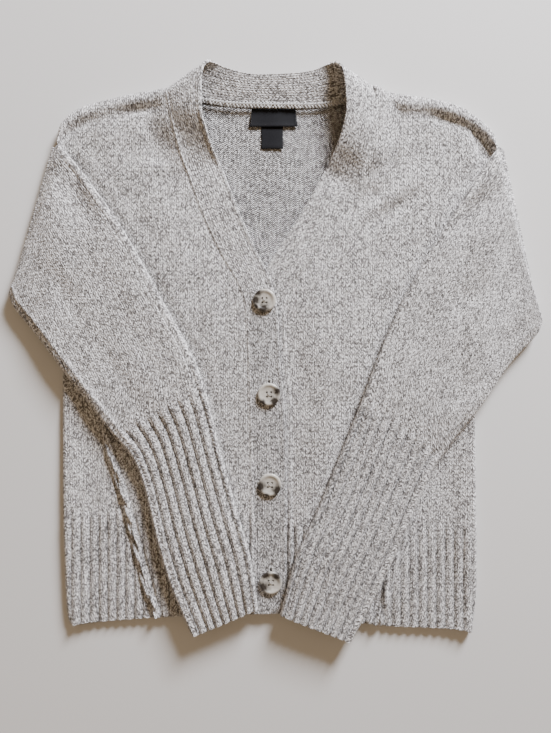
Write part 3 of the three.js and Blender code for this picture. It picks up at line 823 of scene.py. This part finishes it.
def sleeve_sheets(side):
    """A sleeve as rings from the armhole, round the turn at the shoulder and down to the cuff."""
    sign = SIGN[side]
    rows = SLEEVE[side]
    row_at = along(rows)
    thick = SLEEVE_HALF_GAP + KNIT / 2

    def lift(x, y):
        return support_height(side, x, y) + LAY_GAP + thick

    def mouth(y):
        return float(side_at[side](y)) + sign * 2 * SEAM_GAP

    def edges_at(t):
        over_x, over_y, under_x, under_y = (float(column(t)) for column in row_at.values())
        return np.array([over_x, over_y]), np.array([under_x, under_y])

    over0, under0 = edges_at(0)
    fold_top = float(lift(*((over0 + under0) / 2)))
    radius = (fold_top - ARMHOLE_Z) / 2
    outward = np.array([under0[1] - over0[1], over0[0] - under0[0]])
    outward = outward / np.linalg.norm(outward)
    outward = outward * sign * np.sign(outward[0])
    pulled_in = radius + thick
    fold_over, fold_under = over0 - outward * pulled_in, under0 - outward * pulled_in
    top_y, low_y = SHOULDER_TIP_Y - 6, UNDERARM_LOW_Y
    fold_over[0] = max(abs(fold_over[0]), abs(mouth(top_y)) + 3) * sign
    rings = []
    for t in (0, 0.04, 0.5):
        over = mix(np.array([mouth(top_y), top_y]), fold_over, t)
        under = mix(np.array([mouth(low_y), low_y]), fold_under, t)
        rings.append((over, under, (0, 0, 1), ARMHOLE_Z))
    for turned in np.linspace(0, math.pi, 13):
        shift = outward * radius * math.sin(turned)
        normal = (*(-outward * math.sin(turned)), math.cos(turned))
        z = ARMHOLE_Z + radius * (1 - math.cos(turned))
        rings.append((fold_over + shift, fold_under + shift, normal, z))
    last = len(rows["over_x"]) - 1
    t_rows = clustered(0.0, 1000.0, SLEEVE_ROW_STEP)[1:] / 1000 * last
    rings += [(*edges_at(t), (0, 0, -1), None) for t in t_rows]
    top_share = np.concatenate([[0, 0.012, 0.04], np.linspace(0.08, 0.92, 22), [0.96, 0.988, 1]])
    low_share = np.concatenate([[0.996, 0.988, 0.977], np.linspace(0.965, 0.035, 104)])
    low_share = np.concatenate([low_share, [0.023, 0.012, 0.004]])
    share = np.concatenate([top_share, low_share, [0]])
    # the layer that is on top before the turn is the lower one after it, and the other one shows
    showing = np.concatenate([np.zeros(len(top_share)), np.ones(len(low_share)), [0]]) > 0
    points, fabric, relief, hollow = [], [], [], []
    run = 0.0
    previous = None
    for k, (over, under, normal, z) in enumerate(rings):
        width = np.linalg.norm(under - over)
        inset = KNIT / 2 / width
        place = over + (under - over) * mix(inset, 1 - inset, share)[:, None]
        centre = (over + under) / 2
        run += 0 if previous is None else np.linalg.norm(centre - previous)
        previous = centre
        height = lift(place[:, 0], place[:, 1]) if z is None else np.full(len(share), z)
        to_edge = np.minimum(share, 1 - share) * width
        round_off = np.minimum(to_edge / SLEEVE_HALF_GAP, 1)
        half = SLEEVE_HALF_GAP * np.sqrt(1 - (1 - round_off) ** 2)
        t = -1 if z is not None else t_rows[k - (len(rings) - len(t_rows))]
        past_turn = ease(np.array(t), 0, 0.4)
        plump = 0.9 * bell(to_edge - 5, 4.5) * past_turn
        body = (1 - bell(to_edge, 16)) * past_turn
        soft = ease(to_edge, 0, 7) * past_turn
        wrinkle = creases(SLEEVE_CREASES[side], place[:, 0], place[:, 1])
        wrinkle = wrinkle + 0.5 * uneven(place[:, 0], place[:, 1])
        start = mix(*CUFF_START[side], share)
        fullness = 3.4 - 2.2 * ease(t, start - 1.3, start + 0.8)
        swollen = plump + body + np.maximum(wrinkle + fullness, 0) * soft
        offset = np.where(showing, -(half + swollen), half)
        xyz = np.append(place, height[:, None], 1) + offset[:, None] * np.array(normal)
        points.append(xyz)
        cuff_width = CUFF_RIBS[side] * RIB_PITCH
        across = mix(share * width, share * cuff_width, ease(t, start - 1.0, start + 0.2))
        across = across + RIB_PITCH / 4 + np.where(showing, 0, LAYER_SHIFT)
        fabric.append(np.stack([across, np.full(len(share), run)], -1))
        start = start + 0.06 * np.sin(share * 40)
        in_cuff = ease(t, start - 0.05, start + 0.22)
        rib = ribs(share * CUFF_RIBS[side], 1)
        to_under, to_over = (1 - share) * width, share * width
        seam = 1.5 * bell(to_under - 2.6, 1.7) - bell(to_under - 6.2, 1.3)
        seam = seam + 0.8 * bell(to_under - 9.5, 2.2)
        fold = 2.1 * bell(to_over - 2.2, 1.8) - 1.3 * bell(to_over - 7.0, 1.6)
        seam = (seam + fold) * showing * past_turn
        depth = CUFF_RIB_DEPTH[side] * ease(to_edge, 0.5, 5)
        swell = mix(0.62 * ease(t, start - 1.6, start), rib, in_cuff)
        relief.append(depth * swell * past_turn * showing + 0.9 * seam)
        # painted shade in the furrows of the rib cuff
        hollow.append(furrows(rib) * in_cuff * past_turn * showing)
    sheet = {
        "points": np.array(points),
        "fabric": np.array(fabric),
        "relief": np.array(relief),
        "hollow": np.array(hollow),
        "sewn": (np.arange(len(points)) < 3)[:, None] * np.ones(len(share)),
    }
    if side == "right":
        sheet = {name: values[:, ::-1] for name, values in sheet.items()}
    return [sheet]


SLEEVE_CUT = {"right": ((0.345, 0.62), 0.132), "left": ((0.345, 0.64), 0.136)}
for side, (flat, area) in SLEEVE_CUT.items():
    sheets = sleeve_sheets(side)
    knit_piece("sleeve_" + side, sheets, flat, area, "folded", [f"front_{side}_knit"])

# ---- the back neck seam ----
# The neckband is linked on to the back with a thick chained seam of the same yarn, which stands
# on the inside of the neck, a little lighter than the knit around it.
def thread_material(name, dark, light, roughness, scale=2400.0, detail=2.0, twist=0, sheen=0.0):
    """Spun thread, mottled from dark to light, with its twist as bump of this strength."""
    thread, shader, make, _, _, noise, blend = new_material(name)
    spun = noise(make("ShaderNodeTexCoord").outputs["Object"], scale, detail)
    tone = blend(spun, (*dark, 1), (*light, 1))
    fill(shader, ("Base Color", tone), ("Roughness", roughness), ("Sheen Weight", sheen))
    if twist:
        ply = make("ShaderNodeBump", ("Height", spun), ("Strength", twist), ("Distance", 0.0003))
        fill(shader, ("Normal", ply.outputs[0]))
    return thread


seam_yarn = thread_material(
    "seam_yarn", (0.12, 0.11, 0.1), (1.0, 0.99, 0.97), 0.95, 900.0, 3.0, twist=0.6, sheen=0.3
)

# Stitches along a line as a tree: bent lengths of yarn, each across its neighbour's end.
chain = bpy.data.node_groups.new("chained_stitches", "GeometryNodeTree")
group_sockets(
    chain,
    [
        ("Line", "Geometry", None),
        ("Spacing", "Float", 0.002),
        ("Length", "Float", 0.004),
        ("Width", "Float", 0.002),
        ("Rise", "Float", 0.001),
        ("Radius", "Float", 0.0007),
        ("Unevenness", "Float", 0.15),
        ("Yarn", "Material", None),
    ],
    [("Stitches", "Geometry")],
)
make, calc, *_ = node_maker(chain)
given = make("NodeGroupInput").outputs
line = make("GeometryNodeMeshToCurve", (0, given["Line"])).outputs[0]
spots = make("GeometryNodeCurveToPoints", (0, line), ("Length", given["Spacing"]), mode="LENGTH")
facing = make("FunctionNodeAlignRotationToVector", ("Vector", spots.outputs["Tangent"]), axis="X")
bent = make("GeometryNodeCurveQuadraticBezier", ("Resolution", 6))
for end, half in (("Start", -0.5), ("End", 0.5)):
    reach = calc("MULTIPLY", given["Length"], half), calc("MULTIPLY", given["Width"], half)
    fill(bent, (end, make("ShaderNodeCombineXYZ", *enumerate(reach)).outputs[0]))
fill(bent, ("Middle", make("ShaderNodeCombineXYZ", (2, given["Rise"])).outputs[0]))
profile = make("GeometryNodeCurvePrimitiveCircle", ("Resolution", 6), ("Radius", given["Radius"]))
drawn = ((0, bent.outputs[0]), (1, profile.outputs[0]), ("Fill Caps", True))
loop = make("GeometryNodeCurveToMesh", *drawn)
smallest = calc("SUBTRACT", 1.0, given["Unevenness"])
largest = calc("ADD", 1.0, given["Unevenness"])
size = make("FunctionNodeRandomValue", (2, smallest), (3, largest), ("Seed", 7), data_type="FLOAT")
laid = make(
    "GeometryNodeInstanceOnPoints",
    ("Points", spots.outputs["Points"]),
    ("Instance", loop.outputs[0]),
    ("Rotation", facing.outputs[0]),
    ("Scale", size.outputs[1]),
)
real = make("GeometryNodeRealizeInstances", (0, laid.outputs[0]))
smooth = make("GeometryNodeSetShadeSmooth", (0, real.outputs[0]))
dyed = make("GeometryNodeSetMaterial", (0, smooth.outputs[0]), ("Material", given["Yarn"]))
make("NodeGroupOutput", (0, dyed.outputs[0]))


def plain_mesh(piece):
    """Applies a piece's modifiers."""
    bpy.context.view_layer.update()
    piece.data = bpy.data.meshes.new_from_object(
        piece.evaluated_get(bpy.context.evaluated_depsgraph_get())
    )
    piece.modifiers.clear()


def stitched(name, lines, slot, yarn, **sizes):
    """A piece of stitches along lines of points on the pattern, with the tree's sizes in mm."""
    mesh = bpy.data.meshes.new(name)
    points, edges = [], []
    for line_points in lines:
        start = len(points)
        points += [tuple(np.array(p) * MM + np.array(pattern_zero)) for p in line_points]
        edges += [(i, i + 1) for i in range(start, len(points) - 1)]
    mesh.from_pydata(points, edges, [])
    piece = placed(name, mesh)
    modifier = piece.modifiers.new("stitches", "NODES")
    modifier.node_group = chain
    identifiers = {item.name: item.identifier for item in chain.interface.items_tree}
    for size_name, value in sizes.items():
        scale = 1 if size_name == "unevenness" else MM
        modifier[identifiers[size_name.capitalize()]] = value * scale
    modifier[identifiers["Yarn"]] = yarn
    plain_mesh(piece)
    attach(piece, "root")
    return piece


neck_line = [(x, float(back_neck_at(x)) + 3.2, 6.6) for x in np.linspace(-80, 92, 60)]
low_neck_line = [(x + 1.2, y - 2.1, z - 0.8) for x, y, z in neck_line]
for row, line_points, slant in (("upper", neck_line, 2.6), ("lower", low_neck_line, -3.2)):
    sizes = {"spacing": 3.7, "length": 2.6, "width": slant, "rise": 1.6, "radius": 1.15}
    stitched(f"back_neck_chain_{row}", [line_points], "heather_knit", seam_yarn, **sizes)

# ---- the buttons ----
# Four-hole coat buttons in polished horn-look resin, pale with smoky patches at the rim, turned
# with a raised rim and a dished middle, and sewn on with pale thread.
HOLE_RADIUS = 1.2
HOLE_SPACING = 4.6
TURN_STEPS = 96
BUTTON_PROFILE = table(
    "radius height",
    (0, 2.45),
    (2, 2.45),
    (4, 2.5),
    (6, 2.6),
    (7.6, 2.8),
    (8.6, 3.15),
    (9.5, 3.6),
    (10.3, 3.8),
    (11.1, 3.75),
    (11.9, 3.4),
    (12.35, 2.8),
    (12.5, 2.1),
    (12.4, 1.4),
    (11.9, 0.7),
    (11, 0.2),
    (9, 0),
    (0, 0),
)
# Smoky patches: angle from +x in degrees, distance from the middle, size, by button.
SMOKE = {
    "button_1": [(132, 12, 5.5), (180, 10, 5.5), (215, 12, 4.0), (262, 9, 6.0)],
    "button_2": [(18, 10, 5.0), (-52, 10, 5.5), (232, 12, 4.5)],
    "button_3": [(190, 11, 6.5), (-35, 10, 6.5), (250, 12, 3.5)],
    "button_4": [(125, 11, 5.5), (50, 10, 5.5), (205, 10, 6.5)],
}
horn, shader, make, calc, remap, noise, blend = new_material("horn_resin")
place = make("ShaderNodeTexCoord").outputs["Object"]
smoke = make("ShaderNodeAttribute", attribute_name="smoke").outputs["Fac"]
turbulent = (("Vector", place), ("Scale", 170.0), ("Detail", 4.0), ("Distortion", 1.5))
swirl = make("ShaderNodeTexNoise", *turbulent).outputs["Fac"]
smoky = calc("ADD", smoke, calc("MULTIPLY", calc("SUBTRACT", swirl, 0.5), 0.9))
pale = blend(noise(place, 420.0), (0.36, 0.335, 0.29, 1), (0.7, 0.67, 0.6, 1))
resin = blend(remap(smoky, 0.1, 0.8), pale, (0.03, 0.025, 0.021, 1))
polish = (("Roughness", 0.28), ("Coat Weight", 0.4), ("Coat Roughness", 0.12))
fill(shader, ("Base Color", resin), *polish)

sewing_thread = thread_material("sewing_thread", (0.3, 0.28, 0.25), (0.62, 0.6, 0.56), 0.7)


def turned_button(name):
    """The button's profile turned about its axis, with its four holes cut through it."""
    low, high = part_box(name)
    centre = (low + high) / 2
    steps = TURN_STEPS
    radii, heights = BUTTON_PROFILE["radius"], BUTTON_PROFILE["height"]
    angles = np.arange(steps) * 2 * math.pi / steps
    ring = np.stack([np.cos(angles), np.sin(angles)], -1)
    points = [(0, 0, heights[0])]
    for radius, height in zip(radii[1:-1], heights[1:-1]):
        points += [(radius * x, radius * y, height) for x, y in ring]
    points.append((0, 0, heights[-1]))
    faces = []
    for j in range(steps):
        k = (j + 1) % steps
        faces.append((0, 1 + j, 1 + k))
        for i in range(len(radii) - 3):
            a = 1 + i * steps
            faces.append((a + j, a + steps + j, a + steps + k, a + k))
        last = 1 + (len(radii) - 3) * steps
        faces.append((last + j, len(points) - 1, last + k))
    mesh = bpy.data.meshes.new(name + "_resin")
    base = Vector((centre.x, centre.y, low.z))
    mesh.from_pydata([tuple(Vector(p) * MM + base) for p in points], [], faces)
    button = placed(name + "_resin", mesh)
    drills = []
    for x, y in ((-0.5, -0.5), (-0.5, 0.5), (0.5, -0.5), (0.5, 0.5)):
        spot = base + Vector((x * HOLE_SPACING, y * HOLE_SPACING, 2)) * MM
        sizes = {"vertices": 20, "radius": HOLE_RADIUS * MM, "depth": 8 * MM}
        bpy.ops.mesh.primitive_cylinder_add(location=spot, **sizes)
        drills.append(bpy.context.object)
        cut = button.modifiers.new("hole", "BOOLEAN")
        cut.object = drills[-1]
        cut.solver = "EXACT"
    plain_mesh(button)
    cut_mesh = button.data
    for drill in drills:
        bpy.data.objects.remove(drill)
    places = np.array([(v.co - base) / MM for v in cut_mesh.vertices])
    smoke_at = np.zeros(len(places))
    for angle, distance, size in SMOKE[name]:
        spot = distance * np.array([math.cos(math.radians(angle)), math.sin(math.radians(angle))])
        away = np.linalg.norm(places[:, :2] - spot, axis=1)
        smoke_at = np.maximum(smoke_at, bell(away, size))
    layer = cut_mesh.attributes.new("smoke", "FLOAT", "POINT")
    layer.data.foreach_set("value", smoke_at.astype(np.float32))
    cut_mesh.shade_smooth()
    cut_mesh.set_sharp_from_angle(angle=math.radians(40))
    cut_mesh.materials.clear()
    cut_mesh.materials.append(horn)
    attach(button, "root")
    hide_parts(name)
    # two crossed strands, which dive into the holes at their ends
    half = HOLE_SPACING / 2 - 0.5
    spot = (base - pattern_zero) / MM
    strand = [(half * t, 2.3 + 0.8 * (1 - t**4) - 1.0 * t**8) for t in np.linspace(-1, 1, 13)]
    lines = [[(spot.x + s * a, spot.y + a, spot.z + rise) for a, rise in strand] for s in (-1, 1)]
    sizes = {"spacing": 0.5, "length": 1.1, "width": 0.25, "rise": 0.1, "radius": 0.2}
    stitched(name + "_thread", lines, "sewing_thread", sewing_thread, **sizes)


for number in range(1, 5):
    turned_button(f"button_{number}")
    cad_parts[f"shank_{number}"].data.materials.clear()
    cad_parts[f"shank_{number}"].data.materials.append(sewing_thread)

# ---- the buttonholes ----
# Upright slits in the right front band, edged close with yarn. Each button hides nearly all of
# its own, and a dark end shows above two of them.
for number in (2, 4):
    low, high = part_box(f"button_{number}")
    spot = ((low + high) / 2 - pattern_zero) / MM
    top_y = spot.y + BUTTONHOLE_TOP[number] + 0.5
    z = NECKBAND["free_z"][0] + BAND / 2 + 0.75
    edge = [
        (spot.x + 2.1 * math.sin(a), top_y - 3 + 3 * math.cos(a), z)
        for a in np.linspace(-2.2, 2.2, 24)
    ]
    sizes = {"spacing": 0.9, "length": 1.0, "width": 1.5, "rise": 0.3, "radius": 0.4}
    stitched(f"buttonhole_{number}_edge", [edge], "heather_knit", seam_yarn, **sizes)

# ---- the labels ----
# A wide and a narrow label in black woven satin, both bare, tucked under the back neck seam. The
# wide one is stitched down at its two ends.
WEFT_PITCH, WARP_PITCH = 0.00055, 0.0004
satin, shader, make, calc, _, noise, blend = new_material("black_satin")
weave_map = make("ShaderNodeUVMap", uv_map="fabric").outputs[0]
parts = make("ShaderNodeSeparateXYZ", (0, weave_map)).outputs
weft_wave = calc("SINE", calc("MULTIPLY", parts[1], 2 * math.pi / WEFT_PITCH))
warp_wave = calc("SINE", calc("MULTIPLY", parts[0], 2 * math.pi / WARP_PITCH))
weave = calc("ADD", calc("MULTIPLY", weft_wave, 0.35), calc("MULTIPLY", warp_wave, 0.15))
weave = calc("ADD", weave, noise(weave_map, 1500.0))
tone = blend(weave, (0.003, 0.003, 0.004, 1), (0.012, 0.012, 0.015, 1))
ridged = make("ShaderNodeBump", ("Height", weave), ("Strength", 0.4), ("Distance", 0.0002))
fill(shader, ("Base Color", tone), ("Normal", ridged.outputs[0]))
fill(shader, ("Roughness", 0.6), ("Specular IOR Level", 0.12))


def label(name, flare, droop, turn):
    """A woven label with folded edges: a little wider at its foot, and lifting off the knit."""
    low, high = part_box(name)
    low, high = (low - pattern_zero) / MM, (high - pattern_zero) / MM
    across = clustered(low.x, high.x, 1.5)[None, :]
    down = clustered(high.y, low.y, 1.5)[:, None]
    share = (high.y - down) / (high.y - low.y)
    middle = (low.x + high.x) / 2
    x = middle + (across - middle) * (1 - flare + 1.3 * flare * share) + turn * share
    y = down + 1.2 + droop * ((across - middle) / (high.x - low.x)) ** 2 * share
    z = (low.z + high.z) / 2 + 0.35 * np.sin(across / 7) * share + 0.8 * share**2
    hem = 0.25 * bell(share - 0.93, 0.06)
    sheet = {
        "points": np.stack([x, y, z + 0 * x], -1),
        "fabric": np.stack([across + 0 * x, -down + 0 * x], -1),
        "relief": hem + 0 * x,
    }
    sheet = {key: values[::-1] for key, values in sheet.items()}
    piece = knit_wall(name + "_satin", [sheet], 0.5)
    piece.data.materials.append(satin)
    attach(piece, "root")
    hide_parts(name)
    return low, high


label("size_label", 0.0, -0.8, 0.4)
low, high = label("neck_label", 0.08, 1.0, 0.0)
tacks = [
    [(x, high.y - 2 - 14 * t, high.z + 0.5 + 0.5 * t) for t in np.linspace(0, 1, 8)]
    for x in (low.x + 1.6, high.x - 1.6)
]
black_thread = thread_material("black_thread", (0.01, 0.01, 0.012), (0.05, 0.05, 0.055), 0.6)
sizes = {"spacing": 1.6, "length": 1.3, "width": 0.1, "rise": 0.25, "radius": 0.16}
stitched("neck_label_stitches", tacks, "black_satin", black_thread, **sizes)

# ---- floor and light ----
# A plain pale floor, one large soft lamp beyond the left shoulder and a dim warm room.
FLOOR = 6.0
floor_mesh = bpy.data.meshes.new("floor")
corners = [(x * FLOOR, y * FLOOR, 0) for x, y in ((-1, -1), (1, -1), (1, 1), (-1, 1))]
floor_mesh.from_pydata(corners, [], [(0, 1, 2, 3)])
floor = placed("floor", floor_mesh)
floor_paint, shader, *_ = new_material("floor_paint")
fill(shader, ("Base Color", (0.74, 0.73, 0.71, 1)), ("Roughness", 0.9))
floor_mesh.materials.append(floor_paint)

key = placed("key", bpy.data.lights.new("key", "AREA"))
key.data.energy = 184
key.data.size = 0.75
key.data.color = (0.97, 0.99, 1.065)
key.location = (1.12, 2.02, 1.04)
key.rotation_euler = (-key.location).to_track_quat("-Z", "Y").to_euler()
world = bpy.data.worlds.new("room")
world.use_nodes = True
background = world.node_tree.nodes["Background"]
fill(background, ("Color", (1.0, 0.75, 0.5, 1)), ("Strength", 0.34))
bpy.context.scene.world = world
